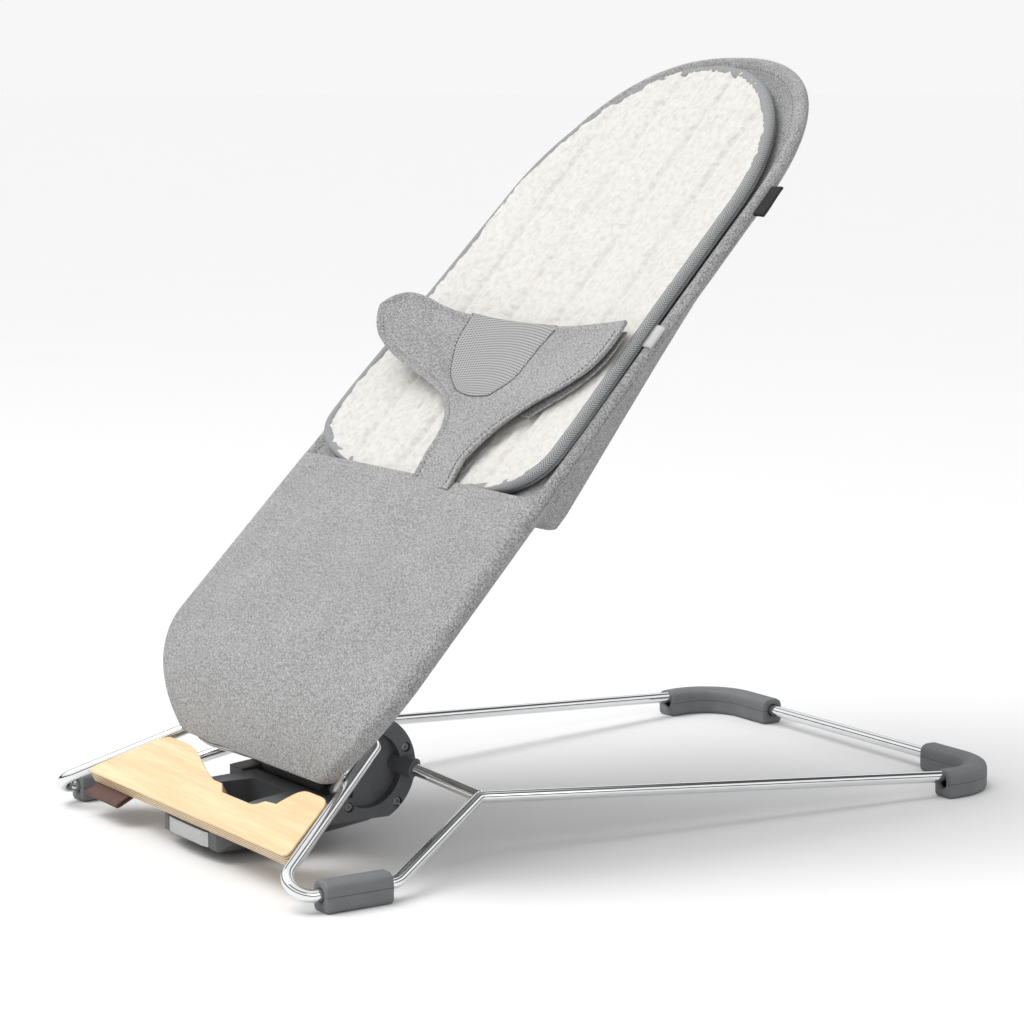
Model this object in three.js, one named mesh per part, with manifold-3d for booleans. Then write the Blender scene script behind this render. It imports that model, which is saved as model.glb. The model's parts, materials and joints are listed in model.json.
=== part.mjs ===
// Bouncer seat: a chromed wire base with rubber feet, a plastic hub with a plywood footboard,
// and a fabric seat on a wire loop that folds about the hub. Millimetres, +Z up, front towards -Y.
import * as THREE from 'three';
import { mergeVertices } from 'three/addons/utils/BufferGeometryUtils.js';
import Module from 'manifold-3d';

const wasm = await Module();
wasm.setup();

// ---- driving dimensions ----
const gap = 0.35; // kept between pieces that touch
const baseWire = 5; // radius of the base's rod
const seatWire = 3.6; // radius of the seat loop's rod
const wireSides = 16;

const padTopZ = 24; // feet
const padHalfWidth = 11;
const footWireZ = 13.3; // height of the rod where it runs through a foot

// base wire, right-hand side: corners of its centre line
const legTop = new THREE.Vector3(100, -221.3, 92.8);
const toeCorner = new THREE.Vector3(206, -383.5, footWireZ);
const kneeCorner = new THREE.Vector3(208.5, -270.3, footWireZ);
const joint = new THREE.Vector3(149.7, -157.3, 51.6);
const heelCorner = new THREE.Vector3(203.7, 350.3, footWireZ);
const heelBend = 46;
const wireSplitY = -303; // where leg and side wires meet inside the front foot
const heelSplitX = 140; // where side and rear wires meet inside the rear foot

// hub
const pivot = new THREE.Vector2(-219.3, 68.3); // Y, Z of the fold axis
const hubHalf = 60;
const deckZ = 46.5;
const hubFloorZ = 9;
const cheekIn = hubHalf + 0.7;
const cheekOut = 82;
const cheekRadius = 44.5;
const axleRadius = 6;
const armRoot = new THREE.Vector3(80, -185, 68.3);
const armEnd = joint.clone().add(new THREE.Vector3(1.5, 4, 0));

// release button
const buttonHalf = 33;
const buttonHigh = 12;
const buttonZ = 17.6;

// footboard
const boardTilt = THREE.MathUtils.degToRad(26.3);
const boardFront = new THREE.Vector2(-345.7, 36); // Y, Z of its top front edge
const boardThick = 11;
const boardDepth = 65.3;
const tabLeft = -160; // leather tab, across the board
const tabRight = -102;
const tabTuck = 22; // held under the board
const tabReach = 14; // stands out past the board's front edge
const tabThick = 4.2;
const leatherThick = 1.7;

// seat: its profile is an arc that runs tangent into a straight back
const backTilt = THREE.MathUtils.degToRad(45.97);
const arcRadius = 124;
const arcCentre = new THREE.Vector2(-152, 73); // Y, Z
const backStart = arcRadius * (Math.PI / 2 - backTilt); // profile length at which the back starts
const archStart = backStart + 473;
const seatLength = backStart + 653.5;
const seatHalf = 187.5; // half width where the back starts
const hemHalf = 118;
const archHalf = 171;
const loopInset = 4.5; // from the cover's edge to the centre of the loop
const clampHalf = 46;
const clampWire = new THREE.Vector2(-235.2, 53.2); // Y, Z of the loop inside its clamp
const pocketTop = backStart + 183;
const yokeTop = 122; // profile length where the loop's yoke meets its rail
const clothThick = 4; // solid stand-in for the knit
const slingStart = 258; // profile length of the sling's lower edge
const bucketEnd = 30; // length over which its lower end drops
const bucketDeep = 62; // the sling's sag behind the frame at its deepest
const pocketLift = 7; // in front of the frame
const linerLift = 10;
const linerThick = 12;
const linerDish = 16; // the liner's dip into the bucket
const bibClear = 11; // bib's middle above the liner's
const bibNeckHalf = 29;
const bibWingHalf = 148;
const bibLength = 150;
const bibCurlLeft = 34; // the free wings curl up off the liner
const bibCurlRight = 9;

// ---- materials ----
const paint = (color, roughness, metalness) => new THREE.MeshStandardMaterial({ color, roughness, metalness });
const chrome = paint(0xd8dadd, 0.08, 1);
const rubber = paint(0x64676a, 0.7, 0);
const darkPlastic = paint(0x424346, 0.5, 0);
const steel = paint(0x8c8e90, 0.35, 1);
const lightPlastic = paint(0xafb1b0, 0.45, 0);
const birch = paint(0xe6cb9c, 0.5, 0);
const leather = paint(0x583a34, 0.6, 0);
const knit = paint(0xa9a9a8, 0.95, 0);
const fleece = paint(0xeeece6, 1, 0);
const webbing = paint(0xc4c5c6, 0.9, 0);
const labelCloth = paint(0x1d1d1f, 0.8, 0);

const model = new THREE.Group();

// ---- helpers ----
function weld(geometry) {
  geometry.deleteAttribute('normal');
  geometry.deleteAttribute('uv');
  return mergeVertices(geometry, 1e-4);
}

function toSolid(geometry) {
  const g = weld(geometry.clone());
  const vertProperties = new Float32Array(g.attributes.position.array);
  const triVerts = new Uint32Array(g.index.array);
  return new wasm.Manifold(new wasm.Mesh({ numProp: 3, vertProperties, triVerts }));
}

function fromSolid(solid) {
  const m = solid.getMesh();
  const g = new THREE.BufferGeometry();
  g.setAttribute('position', new THREE.BufferAttribute(new Float32Array(m.vertProperties), 3));
  g.setIndex(new THREE.BufferAttribute(new Uint32Array(m.triVerts), 1));
  g.computeVertexNormals();
  return g;
}

function subtract(geometry, ...tools) {
  return fromSolid(tools.reduce((solid, tool) => solid.subtract(toSolid(tool)), toSolid(geometry)));
}

function intersect(geometry, ...tools) {
  return fromSolid(tools.reduce((solid, tool) => solid.intersect(toSolid(tool)), toSolid(geometry)));
}

function unite(geometry, ...tools) {
  return fromSolid(tools.reduce((solid, tool) => solid.add(toSolid(tool)), toSolid(geometry)));
}

// Mirror across X = 0, with the triangles turned back to face out.
function mirrored(geometry) {
  const g = geometry.clone().applyMatrix4(new THREE.Matrix4().makeScale(-1, 1, 1));
  const position = g.attributes.position;
  const index = g.index ? Array.from(g.index.array) : Array.from({ length: position.count }, (_, i) => i);
  for (let i = 0; i < index.length; i += 3) {
    [index[i], index[i + 1]] = [index[i + 1], index[i]];
  }
  g.setIndex(index);
  return g;
}

function addPiece(name, geometry, material) {
  const mesh = new THREE.Mesh(geometry, material);
  mesh.name = name;
  model.add(mesh);
  return mesh;
}

// A right-hand piece and its mirror image.
function addPair(name, geometry, material) {
  addPiece(`${name}_right`, geometry, material);
  addPiece(`${name}_left`, mirrored(geometry), material);
}

// A curve through given points, sampled exactly at them.
class Route extends THREE.Curve {
  constructor(points) {
    super();
    this.points = points;
  }

  getPointAt(u) {
    return this.points[Math.round(u * (this.points.length - 1))].clone();
  }

  getTangentAt(u) {
    const last = this.points.length - 1;
    const i = Math.round(u * last);
    const before = this.points[Math.max(i - 1, 0)];
    const after = this.points[Math.min(i + 1, last)];
    const back = this.points[i].clone().sub(before).normalize();
    const ahead = after.clone().sub(this.points[i]).normalize();
    return back.add(ahead).normalize();
  }
}

// A polyline whose corners are rounded: each corner is { at, radius, steps }.
function roundedRoute(start, corners, end) {
  const stops = [start, ...corners.map((c) => c.at), end];
  const points = [start.clone()];
  corners.forEach(({ at, radius, steps }, i) => {
    const toBack = stops[i].clone().sub(at).normalize();
    const toAhead = stops[i + 2].clone().sub(at).normalize();
    const halfAngle = Math.acos(toBack.dot(toAhead)) / 2;
    const reach = radius / Math.tan(halfAngle);
    const centre = toBack.clone().add(toAhead).normalize().multiplyScalar(radius / Math.sin(halfAngle)).add(at);
    const from = at.clone().addScaledVector(toBack, reach).sub(centre);
    const to = at.clone().addScaledVector(toAhead, reach).sub(centre);
    const turn = Math.PI - 2 * halfAngle;
    for (let k = 0; k <= steps; k += 1) {
      const a = Math.sin(turn * (1 - k / steps)) / Math.sin(turn);
      const b = Math.sin((turn * k) / steps) / Math.sin(turn);
      points.push(centre.clone().addScaledVector(from, a).addScaledVector(to, b));
    }
  });
  points.push(end.clone());
  return new Route(points);
}

function circleShape(radius, sides = wireSides) {
  const shape = new THREE.Shape();
  for (let i = 0; i < sides; i += 1) {
    const a = (2 * Math.PI * (i + 0.5)) / sides;
    const move = i === 0 ? 'moveTo' : 'lineTo';
    shape[move](radius * Math.cos(a), radius * Math.sin(a));
  }
  shape.closePath();
  return shape;
}

function sweep(shape, route) {
  const steps = route.points.length - 1;
  return weld(new THREE.ExtrudeGeometry(shape, { steps, bevelEnabled: false, extrudePath: route }));
}

const rod = (route, radius) => sweep(circleShape(radius), route);

// A flat outline in (Y, Z), extruded along X from x0 to x1.
function extrudeX(outline, x0, x1, curveSegments = 10) {
  const g = new THREE.ExtrudeGeometry(outline, { depth: x1 - x0, bevelEnabled: false, curveSegments });
  g.applyMatrix4(new THREE.Matrix4().set(0, 0, 1, x0, 1, 0, 0, 0, 0, 1, 0, 0, 0, 0, 0, 1));
  return weld(g);
}

// A flat outline in (X, Y), extruded along Z from z0 to z1.
function extrudeZ(outline, z0, z1, curveSegments = 12) {
  const g = new THREE.ExtrudeGeometry(outline, { depth: z1 - z0, bevelEnabled: false, curveSegments });
  return weld(g.translate(0, 0, z0));
}

function polygon(points) {
  return new THREE.Shape(points.map(([x, y]) => new THREE.Vector2(x, y)));
}

function circleAt(y, z, radius, sides = wireSides) {
  return polygon(circleShape(radius, sides).getPoints(1).map((p) => [p.x + y, p.y + z]));
}

// ---- base wire ----
const legRoute = roundedRoute(
  new THREE.Vector3(70, legTop.y, legTop.z),
  [{ at: legTop, radius: 15, steps: 6 }, { at: toeCorner, radius: 15.5, steps: 14 }],
  new THREE.Vector3(toeCorner.x + 1.5, wireSplitY - gap, footWireZ),
);

const sideRoute = roundedRoute(
  new THREE.Vector3(toeCorner.x + 1.5, wireSplitY + gap, footWireZ),
  [
    { at: kneeCorner, radius: 20, steps: 5 },
    { at: joint, radius: 9, steps: 7 },
    { at: heelCorner, radius: heelBend, steps: 9 },
  ],
  new THREE.Vector3(heelSplitX, heelCorner.y, footWireZ),
);

function armRod() {
  const arm = rod(new Route([armRoot, armEnd]), baseWire);
  const outer = joint.clone().add(new THREE.Vector3(60, 40, 0));
  const beyond = new THREE.BoxGeometry(120, 200, 120).translate(outer.x, outer.y, outer.z);
  return subtract(arm, rod(sideRoute, baseWire + gap), beyond);
}

addPair('leg_wire', rod(legRoute, baseWire), chrome);
addPair('side_wire', rod(sideRoute, baseWire), chrome);
addPair('arm_wire', armRod(), chrome);
const rearEnd = new THREE.Vector3(heelSplitX - gap, heelCorner.y, footWireZ);
addPiece('rear_wire', rod(new Route([rearEnd, rearEnd.clone().setX(-rearEnd.x)]), baseWire), chrome);

// ---- rubber feet: a sleeve with a flat sole round the rod ----
// The outline's x points down from the rod and its y points sideways.
function footSection() {
  const down = footWireZ;
  const up = footWireZ - padTopZ;
  const chamfer = 5;
  return polygon([
    [down, -padHalfWidth + 3], [down, padHalfWidth - 3], [down - 3, padHalfWidth],
    [up + chamfer, padHalfWidth], [up, padHalfWidth - chamfer], [up, -padHalfWidth + chamfer],
    [up + chamfer, -padHalfWidth], [down - 3, -padHalfWidth],
  ]);
}

function foot(route, bore) {
  return subtract(sweep(footSection(), route), rod(bore, baseWire + gap));
}

const frontFootRoute = new Route([
  new THREE.Vector3(toeCorner.x + 1, -337, footWireZ),
  new THREE.Vector3(toeCorner.x + 2, -279, footWireZ),
]);
const frontBore = new Route([
  new THREE.Vector3(toeCorner.x + 0.8, -345, footWireZ),
  new THREE.Vector3(toeCorner.x + 1.5, wireSplitY, footWireZ),
  new THREE.Vector3(toeCorner.x + 2.2, -260, footWireZ),
]);
addPair('front_foot', foot(frontFootRoute, frontBore), rubber);

function rearFoot() {
  const flatHeel = roundedRoute(
    new THREE.Vector3(heelCorner.x - 5, heelCorner.y - 62, footWireZ),
    [{ at: heelCorner, radius: heelBend, steps: 9 }],
    new THREE.Vector3(heelCorner.x - 92, heelCorner.y, footWireZ),
  );
  const shell = sweep(footSection(), flatHeel);
  const past = new THREE.Vector3(60, heelCorner.y, footWireZ);
  const boreRoute = new Route([...sideRoute.points.slice(0, -1), past]);
  return subtract(shell, rod(boreRoute, baseWire + gap));
}
addPair('rear_foot', rearFoot(), rubber);

// ---- hub ----
function hubBody() {
  const underBoard = (y) => boardFront.y + (y - boardFront.x) * Math.tan(boardTilt)
    - boardThick / Math.cos(boardTilt) - gap;
  const side = polygon([
    [-341, hubFloorZ + 4], [-335, hubFloorZ], [-262, hubFloorZ], [-205, 20], [-184, 36], [-177, 58],
    [-187, 58], [-191, 40.5], [-243, 40.5], [-246.5, deckZ], [-296, deckZ - 1.5],
    [-303, underBoard(-303)], [-341, underBoard(-341)],
  ]);
  const front = polygon([
    [-44, hubFloorZ], [44, hubFloorZ], [hubHalf, 22], [hubHalf, 37], [52, deckZ + 1], [52, 70],
    [-52, 70], [-52, deckZ + 1], [-hubHalf, 37], [-hubHalf, 22],
  ]);
  const plan = new THREE.Shape();
  plan.moveTo(hubHalf, -170);
  plan.lineTo(hubHalf, -285);
  plan.quadraticCurveTo(hubHalf, -326, 44, -337);
  plan.quadraticCurveTo(0, -344, -44, -337);
  plan.quadraticCurveTo(-hubHalf, -326, -hubHalf, -285);
  plan.lineTo(-hubHalf, -170);
  const frontBlock = extrudeZ(front, 0, 220).rotateX(Math.PI / 2).translate(0, -150, 0);
  const block = intersect(extrudeX(side, -hubHalf, hubHalf), frontBlock, extrudeZ(plan, 0, 90));
  const tray = new THREE.Shape();
  tray.moveTo(-28 + 6, -262);
  tray.lineTo(28 - 6, -262);
  tray.quadraticCurveTo(28, -262, 29, -268);
  tray.lineTo(37, -303);
  tray.quadraticCurveTo(37.5, -309, 31, -309);
  tray.lineTo(-31, -309);
  tray.quadraticCurveTo(-37.5, -309, -37, -303);
  tray.lineTo(-29, -268);
  tray.quadraticCurveTo(-28, -262, -22, -262);
  const buttonWell = new THREE.BoxGeometry(2 * buttonHalf + 3, 30, buttonHigh + 3)
    .translate(0, -344 + 13, buttonZ);
  return subtract(block, extrudeZ(tray, 24, 70, 4), buttonWell);
}

addPiece('hub_body', hubBody(), darkPlastic);

function releaseButton() {
  const plan = new THREE.Shape();
  plan.moveTo(buttonHalf - 0.5, -326);
  plan.lineTo(buttonHalf, -338.5);
  plan.quadraticCurveTo(0, -346, -buttonHalf, -338.5);
  plan.lineTo(-buttonHalf + 0.5, -326);
  const side = polygon([
    [-326, buttonZ - buttonHigh / 2], [-326, buttonZ + buttonHigh / 2],
    [-340, buttonZ + buttonHigh / 2], [-343.5, buttonZ + buttonHigh / 2 - 3],
    [-343.5, buttonZ - buttonHigh / 2 + 3], [-340, buttonZ - buttonHigh / 2],
  ]);
  return intersect(extrudeZ(plan, 0, 40, 8), extrudeX(side, -40, 40));
}
addPiece('release_button', releaseButton(), lightPlastic);

const screwSpots = [[-183.6, 82.6], [-191.8, 38.8], [-237, 40]];
const counterbore = 4.2;
const counterboreDepth = 5;

function cheek() {
  const outline = new THREE.Shape();
  outline.moveTo(-256, 31);
  outline.lineTo(-254, 28.6);
  outline.lineTo(-200, 28);
  const end = THREE.MathUtils.degToRad(-58);
  const start = THREE.MathUtils.degToRad(108);
  outline.absarc(pivot.x, pivot.y, cheekRadius, end, start, false);
  outline.lineTo(-233.5, 107);
  outline.lineTo(-233.5, 48);
  outline.lineTo(-256, 46);
  const plate = extrudeX(outline, cheekIn, cheekOut, 16);
  const recess = intersect(
    extrudeX(circleAt(pivot.x, pivot.y, 31, 28), cheekOut - 8, cheekOut + 1),
    new THREE.BoxGeometry(60, 80, 90).translate(cheekOut, pivot.x + 26, pivot.y + 3),
  );
  const direction = armEnd.clone().sub(armRoot).normalize();
  const socketEnd = armRoot.clone().addScaledVector(direction, 11);
  const socketStart = armRoot.clone().addScaledVector(direction, -10);
  const bossRod = sweep(circleShape(8.4), new Route([socketStart, socketEnd]));
  const boss = intersect(bossRod, new THREE.BoxGeometry(60, 60, 60).translate(cheekIn + 36, armRoot.y, armRoot.z));
  const armBore = sweep(circleShape(baseWire + gap), new Route([
    armRoot.clone().addScaledVector(direction, -gap), armRoot.clone().addScaledVector(direction, 30),
  ]));
  const legBore = extrudeX(circleAt(legTop.y, legTop.z, baseWire + gap), 70 - gap, 100);
  const axleBore = extrudeX(circleAt(pivot.x, pivot.y, axleRadius + gap), cheekIn - 1, 69);
  const holes = screwSpots.map(([y, z]) => (
    extrudeX(circleAt(y, z, counterbore, 12), cheekOut - counterboreDepth, cheekOut + 1)));
  return subtract(unite(subtract(plate, recess), boss), armBore, legBore, axleBore, ...holes);
}
addPair('hub_cheek', cheek(), darkPlastic);

function screwHead(y, z) {
  const profile = [[0, 0], [3.6, 0], [3.6, 2.4], [3, 3], [1.6, 3], [1.6, 1.4], [0, 1.4]];
  const g = new THREE.LatheGeometry(profile.map(([r, h]) => new THREE.Vector2(r, h)), 12);
  g.rotateZ(-Math.PI / 2);
  return weld(g.translate(cheekOut - counterboreDepth + gap, y, z));
}
screwSpots.forEach(([y, z], i) => addPair(`cheek_screw_${i + 1}`, screwHead(y, z), steel));

const axleLine = [-68, 68].map((x) => new THREE.Vector3(x, pivot.x, pivot.y));
addPiece('pivot_axle', sweep(circleShape(axleRadius), new Route(axleLine)), steel);

// ---- footboard and its leather loop ----
// The outline runs in the board's own plane: x across, y up the slope from the front edge.
function boardOutline() {
  const frontHalf = 171;
  const earHalf = 134.5;
  const s = new THREE.Shape();
  s.moveTo(-frontHalf + 9, 0);
  s.lineTo(frontHalf - 9, 0);
  s.quadraticCurveTo(frontHalf, 0, frontHalf - 4, 8);
  s.lineTo(earHalf + 6, boardDepth - 9);
  s.quadraticCurveTo(earHalf, boardDepth, earHalf - 10, boardDepth);
  s.lineTo(106, boardDepth);
  s.bezierCurveTo(93, boardDepth, 92, 56, 89, 42.5);
  s.lineTo(74, 41);
  s.bezierCurveTo(70, 35, 67, 33, 60, 33);
  s.lineTo(16, 33);
  s.lineTo(3, 41);
  s.lineTo(-11, 41);
  s.bezierCurveTo(-50, 49, -68, boardDepth, -104, boardDepth);
  s.lineTo(-earHalf + 10, boardDepth);
  s.quadraticCurveTo(-earHalf, boardDepth, -earHalf - 6, boardDepth - 9);
  s.lineTo(-frontHalf + 4, 8);
  s.quadraticCurveTo(-frontHalf, 0, -frontHalf + 9, 0);
  return s;
}
const boardShape = extrudeZ(boardOutline(), -boardThick, 0, 8);
addPiece('footboard', boardShape.rotateX(boardTilt).translate(0, boardFront.x, boardFront.y), birch);

// A strip of leather folded double and held under the board, standing out past its front edge.
function leatherTab() {
  const fold = new THREE.Shape();
  fold.moveTo(tabTuck, 0);
  fold.lineTo(-tabReach + 4, 0);
  fold.quadraticCurveTo(-tabReach, -0.2, -tabReach, -tabThick / 2);
  fold.quadraticCurveTo(-tabReach, -tabThick + 0.2, -tabReach + 4, -tabThick);
  fold.lineTo(tabTuck, -tabThick);
  fold.lineTo(tabTuck, -tabThick + leatherThick);
  fold.lineTo(-tabReach + 5, -tabThick + leatherThick);
  fold.quadraticCurveTo(-tabReach + 3, -tabThick / 2, -tabReach + 5, -leatherThick);
  fold.lineTo(tabTuck, -leatherThick);
  return extrudeX(fold, tabLeft, tabRight, 4);
}
const tabSeat = new THREE.Vector3(0, 0, -boardThick - gap).applyAxisAngle(new THREE.Vector3(1, 0, 0), boardTilt);
const tab = leatherTab().rotateX(boardTilt).translate(0, boardFront.x + tabSeat.y, boardFront.y + tabSeat.z);
addPiece('leather_tab', tab, leather);

// ---- seat profile ----
// A point at profile length s, lifted off the profile towards the sitter.
function seatPoint(x, s, lift) {
  if (s < backStart) {
    const a = s / arcRadius;
    const r = arcRadius + lift;
    return new THREE.Vector3(x, arcCentre.x - r * Math.cos(a), arcCentre.y + r * Math.sin(a));
  }
  const a = backStart / arcRadius;
  const along = s - backStart;
  const r = arcRadius + lift;
  return new THREE.Vector3(
    x,
    arcCentre.x - r * Math.cos(a) + along * Math.cos(backTilt),
    arcCentre.y + r * Math.sin(a) + along * Math.sin(backTilt),
  );
}

// Half width of the cover's outline at profile length s.
function coverHalf(s) {
  if (s < backStart) {
    return seatHalf - (seatHalf - hemHalf) * (1 - s / backStart) ** 2;
  }
  if (s < archStart) {
    return seatHalf + (archHalf - seatHalf) * ((s - backStart) / (archStart - backStart));
  }
  const rise = Math.min((s - archStart) / (seatLength - archStart), 1);
  return archHalf * (1 - rise ** 2.5) ** 0.4;
}

// ---- seat loop ----
function loopPoint(s) {
  const lift = -5 * Math.max(0, 1 - s / 170);
  return seatPoint(coverHalf(s) - loopInset, s, lift);
}

function yokeRoute() {
  const clampEnd = new THREE.Vector3(clampHalf + 6, clampWire.x, clampWire.y);
  const corner = new THREE.Vector3(108, -267, 63);
  const first = roundedRoute(
    new THREE.Vector3(gap / 2, clampWire.x, clampWire.y),
    [{ at: clampEnd, radius: 11, steps: 4 }, { at: corner, radius: 15, steps: 6 }],
    loopPoint(16),
  );
  const rise = [];
  for (let s = 26; s < yokeTop; s += 13) {
    rise.push(loopPoint(s));
  }
  return new Route([...first.points, ...rise, loopPoint(yokeTop)]);
}
function archRoute() {
  const steps = 32;
  const points = [];
  for (let i = 0; i <= steps; i += 1) {
    const a = (Math.PI * i) / steps;
    const x = (archHalf - loopInset) * Math.sign(Math.cos(a)) * Math.abs(Math.cos(a)) ** 0.8;
    const s = archStart + (seatLength - loopInset - archStart) * Math.sin(a) ** 0.8;
    points.push(seatPoint(x, s, 0));
  }
  return new Route(points);
}

addPair('loop_yoke', rod(yokeRoute(), seatWire), chrome);
addPair('loop_rail', rod(new Route([loopPoint(yokeTop + gap), loopPoint(archStart - gap)]), seatWire), chrome);
addPiece('loop_arch', rod(archRoute(), seatWire), chrome);

function seatClamp() {
  const link = new THREE.Vector2().subVectors(pivot, clampWire);
  const angle = link.angle();
  const body = new THREE.Shape();
  body.absarc(clampWire.x, clampWire.y, 10.5, angle + Math.PI / 2, angle - Math.PI / 2, false);
  body.absarc(pivot.x, pivot.y, 14, angle - Math.PI / 2, angle + Math.PI / 2, false);
  const wireBore = extrudeX(circleAt(clampWire.x, clampWire.y, seatWire + gap), -60, 60);
  const axleBore = extrudeX(circleAt(pivot.x, pivot.y, axleRadius + gap), -60, 60);
  return subtract(extrudeX(body, -clampHalf, clampHalf, 12), wireBore, axleBore);
}
addPiece('seat_clamp', seatClamp(), darkPlastic);

// ---- soft pieces ----
// A box bent to a sheet: across runs from -1 to 1, along from 0 to 1, face is -0.5 or 0.5.
function bentSheet(acrossSteps, alongSteps, place) {
  const g = weld(new THREE.BoxGeometry(2, 1, 1, acrossSteps, alongSteps, 1));
  const position = g.attributes.position;
  for (let i = 0; i < position.count; i += 1) {
    const p = place(position.getX(i), position.getY(i) + 0.5, position.getZ(i));
    position.setXYZ(i, p.x, p.y, p.z);
  }
  return g;
}

const slingInset = loopInset + seatWire + 1;

// Depth of the bucket behind the frame's plane, at its deepest across each row.
function bucketDepth(s) {
  const rise = Math.min(Math.max((s - slingStart - 4) / bucketEnd, 0), 1);
  const fall = Math.min(Math.max((seatLength - 60 - s) / 420, 0), 1);
  return bucketDeep * Math.sin((rise * Math.PI) / 2) * fall ** 0.9;
}

function sling() {
  return bentSheet(12, 22, (across, along, face) => {
    const s = slingStart + along * (seatLength - 36 - slingStart);
    const half = coverHalf(s > archStart ? s + slingInset * ((s - archStart) / 80) : s) - slingInset;
    const sink = bucketDepth(s) * (1 - across ** 4);
    return seatPoint(across * half, s, -sink + face * clothThick);
  });
}
addPiece('sling', sling(), knit);

function pocket() {
  return bentSheet(8, 14, (across, along, face) => {
    const s = 2 + along * (pocketTop - 2);
    const bulge = 6 * Math.sin(Math.PI * along) * (1 - across ** 2);
    return seatPoint(across * (coverHalf(s) - 1), s, pocketLift + bulge + face * clothThick);
  });
}
addPiece('pocket_panel', pocket(), knit);

const linerTop = seatLength - 19;

// The liner's lift, which dips between its edges above the bucket.
function linerLiftAt(across, s) {
  const share = Math.min(Math.max((linerTop - 60 - s) / 300, 0), 1);
  return linerLift - linerDish * share * (1 - across ** 2);
}

const linerHalf = (s) => Math.max(coverHalf(s + 8) - 14, 20);

function liner() {
  return bentSheet(8, 14, (across, along, face) => {
    const s = pocketTop + 4 + along * (linerTop - pocketTop - 4 - 12);
    return seatPoint(across * linerHalf(s), s, linerLiftAt(across, s) + face * linerThick);
  });
}
addPiece('liner_pad', liner(), fleece);

// The bib: a narrow strap that rises from the pocket and spreads into two wings, both free at their ends.
function bib() {
  return bentSheet(14, 12, (across, along, face) => {
    const spread = Math.min(Math.max((along - 0.35) / 0.5, 0), 1);
    const half = bibNeckHalf + (bibWingHalf - bibNeckHalf) * (3 * spread ** 2 - 2 * spread ** 3);
    const middle = 24 - 18 * along;
    const x = middle + across * half;
    const s = pocketTop + 6 + along * bibLength;
    const curl = (x < 0 ? bibCurlLeft : bibCurlRight) * (x / bibWingHalf) ** 2;
    return seatPoint(x, s, linerLiftAt(x / linerHalf(s), s) + bibClear + curl + face * clothThick);
  });
}
addPiece('harness_bib', bib(), knit);

// A patch of webbing across the cover's edge, where the harness is held.
function harnessPatch() {
  const g = new THREE.BoxGeometry(20, 22, 2);
  const at = seatPoint(177, backStart + 345, 8);
  return weld(g.rotateX(backTilt).translate(at.x, at.y, at.z));
}
addPair('harness_strap', harnessPatch(), webbing);

function edgeLabel() {
  const s = backStart + 497;
  const g = new THREE.BoxGeometry(15, 30, 1.6).rotateX(backTilt);
  const at = seatPoint(coverHalf(s) + 8, s, 0);
  return weld(g.translate(at.x, at.y, at.z));
}
addPiece('edge_label', edgeLabel(), labelCloth);

export default model;
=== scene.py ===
import json
import math
import bmesh
import bpy
import numpy as np
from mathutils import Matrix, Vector

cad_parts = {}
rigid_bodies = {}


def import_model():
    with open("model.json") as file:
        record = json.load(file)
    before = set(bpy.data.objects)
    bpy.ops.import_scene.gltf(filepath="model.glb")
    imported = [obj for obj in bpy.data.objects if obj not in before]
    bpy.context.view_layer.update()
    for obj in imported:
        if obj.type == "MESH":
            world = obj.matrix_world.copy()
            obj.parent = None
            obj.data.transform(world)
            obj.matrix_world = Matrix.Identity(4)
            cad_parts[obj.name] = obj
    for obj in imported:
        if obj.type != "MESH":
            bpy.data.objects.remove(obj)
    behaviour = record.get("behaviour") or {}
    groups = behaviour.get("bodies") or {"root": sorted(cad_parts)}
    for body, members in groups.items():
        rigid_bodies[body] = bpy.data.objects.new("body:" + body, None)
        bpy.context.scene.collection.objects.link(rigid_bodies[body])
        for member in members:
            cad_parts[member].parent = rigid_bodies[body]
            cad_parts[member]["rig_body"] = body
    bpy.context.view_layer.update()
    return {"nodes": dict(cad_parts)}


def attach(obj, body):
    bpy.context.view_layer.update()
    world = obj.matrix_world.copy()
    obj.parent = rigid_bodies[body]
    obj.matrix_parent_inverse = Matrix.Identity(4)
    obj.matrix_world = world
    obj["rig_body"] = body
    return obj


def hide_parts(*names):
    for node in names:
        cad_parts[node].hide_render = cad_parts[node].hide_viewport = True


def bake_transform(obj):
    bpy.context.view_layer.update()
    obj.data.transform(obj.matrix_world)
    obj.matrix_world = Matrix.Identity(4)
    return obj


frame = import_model()
nodes = frame["nodes"]
scene = bpy.context.scene
print("frame loaded")


# Shader maths: a wrapped socket, so that an expression on values adds its Math nodes.
class Val:
    def __init__(self, graph, socket):
        self.graph = graph
        self.socket = socket

    def __add__(self, other):
        return self.graph.math("ADD", self, other)

    def __radd__(self, other):
        return self.graph.math("ADD", other, self)

    def __sub__(self, other):
        return self.graph.math("SUBTRACT", self, other)

    def __rsub__(self, other):
        return self.graph.math("SUBTRACT", other, self)

    def __mul__(self, other):
        return self.graph.math("MULTIPLY", self, other)

    def __rmul__(self, other):
        return self.graph.math("MULTIPLY", other, self)

    def __truediv__(self, other):
        return self.graph.math("DIVIDE", self, other)


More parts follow.
